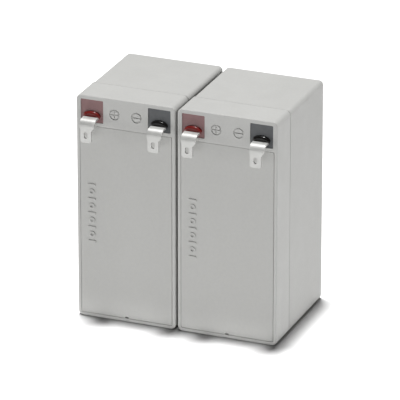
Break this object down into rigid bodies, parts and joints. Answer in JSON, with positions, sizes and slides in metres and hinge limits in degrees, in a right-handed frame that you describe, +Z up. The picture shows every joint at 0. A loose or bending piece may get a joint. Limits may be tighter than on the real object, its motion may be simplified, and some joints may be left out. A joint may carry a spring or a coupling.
{
  "type": "sealed lead-acid battery pair",
  "caption": "Pair of small sealed lead-acid battery blocks standing on end side by side, lids facing forward with bent push-on tabs, coloured terminal pockets and a cover plate over vents.",
  "frame": {"origin": "centre of the pair's bounding box in plan, on the surface it stands on", "axes": "+Z up along the blocks' 97 mm length, -Y out of the lids on the terminal side, +X from the left block to the right block"},
  "size_m": [0.087, 0.0584, 0.097],
  "materials": {
    "case_plastic": "fine matte moulded ABS, light grey",
    "lid_plastic": "fine matte moulded ABS, light grey",
    "plate_plastic": "fine matte moulded ABS, light grey",
    "lid_adhesive": "cured adhesive",
    "valve_rubber": "soft black synthetic rubber",
    "tinned_metal": "dull tin plate",
    "red_insert": "satin, dull red",
    "black_insert": "satin, slate",
    "red_resin": "glossy cast resin, deep red",
    "black_resin": "glossy cast resin, black",
    "lead": "dull cast lead",
    "brown_paste": "dull dark brown paste",
    "grey_paste": "dull grey paste",
    "glass_mat": "white glass-fibre mat"
  },
  "bodies": {
    "left_block": {"left_container": "case_plastic", "left_lid": "lid_plastic", "left_lid_seal": "lid_adhesive", "left_cover_plate": "plate_plastic", "left_positive_marker": "red_insert", "left_negative_marker": "black_insert", "left_positive_resin": "red_resin", "left_negative_resin": "black_resin", "left_positive_tab": "tinned_metal", "left_negative_tab": "tinned_metal", "left_positive_post": "lead", "left_negative_post": "lead", "left_positive_straps": "lead", "left_negative_straps": "lead", "left_cell_connectors": "lead", "left_positive_plates": "brown_paste", "left_negative_plates": "grey_paste", "left_separators": "glass_mat"},
    "right_block": {"right_container": "case_plastic", "right_lid": "lid_plastic", "right_lid_seal": "lid_adhesive", "right_cover_plate": "plate_plastic", "right_positive_marker": "red_insert", "right_negative_marker": "black_insert", "right_positive_resin": "red_resin", "right_negative_resin": "black_resin", "right_positive_tab": "tinned_metal", "right_negative_tab": "tinned_metal", "right_positive_post": "lead", "right_negative_post": "lead", "right_positive_straps": "lead", "right_negative_straps": "lead", "right_cell_connectors": "lead", "right_positive_plates": "brown_paste", "right_negative_plates": "grey_paste", "right_separators": "glass_mat"},
    "left_valve_1": {"left_valve_cap_1": "valve_rubber"},
    "left_valve_2": {"left_valve_cap_2": "valve_rubber"},
    "left_valve_3": {"left_valve_cap_3": "valve_rubber"},
    "left_valve_4": {"left_valve_cap_4": "valve_rubber"},
    "left_valve_5": {"left_valve_cap_5": "valve_rubber"},
    "left_valve_6": {"left_valve_cap_6": "valve_rubber"},
    "right_valve_1": {"right_valve_cap_1": "valve_rubber"},
    "right_valve_2": {"right_valve_cap_2": "valve_rubber"},
    "right_valve_3": {"right_valve_cap_3": "valve_rubber"},
    "right_valve_4": {"right_valve_cap_4": "valve_rubber"},
    "right_valve_5": {"right_valve_cap_5": "valve_rubber"},
    "right_valve_6": {"right_valve_cap_6": "valve_rubber"}
  },
  "joints": [
    {"name": "right_block_pull", "type": "slide", "parent": "left_block", "child": "right_block", "axis": [0, -1, 0], "range_m": [0, 0.06]},
    {"name": "left_valve_1_lift", "type": "slide", "parent": "left_block", "child": "left_valve_1", "axis": [0, -1, 0], "range_m": [0, 0.0005], "stiffness_N_per_m": 500, "springref_m": -0.0007},
    {"name": "left_valve_2_lift", "type": "slide", "parent": "left_block", "child": "left_valve_2", "axis": [0, -1, 0], "range_m": [0, 0.0005], "stiffness_N_per_m": 500, "springref_m": -0.0007},
    {"name": "left_valve_3_lift", "type": "slide", "parent": "left_block", "child": "left_valve_3", "axis": [0, -1, 0], "range_m": [0, 0.0005], "stiffness_N_per_m": 500, "springref_m": -0.0007},
    {"name": "left_valve_4_lift", "type": "slide", "parent": "left_block", "child": "left_valve_4", "axis": [0, -1, 0], "range_m": [0, 0.0005], "stiffness_N_per_m": 500, "springref_m": -0.0007},
    {"name": "left_valve_5_lift", "type": "slide", "parent": "left_block", "child": "left_valve_5", "axis": [0, -1, 0], "range_m": [0, 0.0005], "stiffness_N_per_m": 500, "springref_m": -0.0007},
    {"name": "left_valve_6_lift", "type": "slide", "parent": "left_block", "child": "left_valve_6", "axis": [0, -1, 0], "range_m": [0, 0.0005], "stiffness_N_per_m": 500, "springref_m": -0.0007},
    {"name": "right_valve_1_lift", "type": "slide", "parent": "right_block", "child": "right_valve_1", "axis": [0, -1, 0], "range_m": [0, 0.0005], "stiffness_N_per_m": 500, "springref_m": -0.0007},
    {"name": "right_valve_2_lift", "type": "slide", "parent": "right_block", "child": "right_valve_2", "axis": [0, -1, 0], "range_m": [0, 0.0005], "stiffness_N_per_m": 500, "springref_m": -0.0007},
    {"name": "right_valve_3_lift", "type": "slide", "parent": "right_block", "child": "right_valve_3", "axis": [0, -1, 0], "range_m": [0, 0.0005], "stiffness_N_per_m": 500, "springref_m": -0.0007},
    {"name": "right_valve_4_lift", "type": "slide", "parent": "right_block", "child": "right_valve_4", "axis": [0, -1, 0], "range_m": [0, 0.0005], "stiffness_N_per_m": 500, "springref_m": -0.0007},
    {"name": "right_valve_5_lift", "type": "slide", "parent": "right_block", "child": "right_valve_5", "axis": [0, -1, 0], "range_m": [0, 0.0005], "stiffness_N_per_m": 500, "springref_m": -0.0007},
    {"name": "right_valve_6_lift", "type": "slide", "parent": "right_block", "child": "right_valve_6", "axis": [0, -1, 0], "range_m": [0, 0.0005], "stiffness_N_per_m": 500, "springref_m": -0.0007}
  ]
}
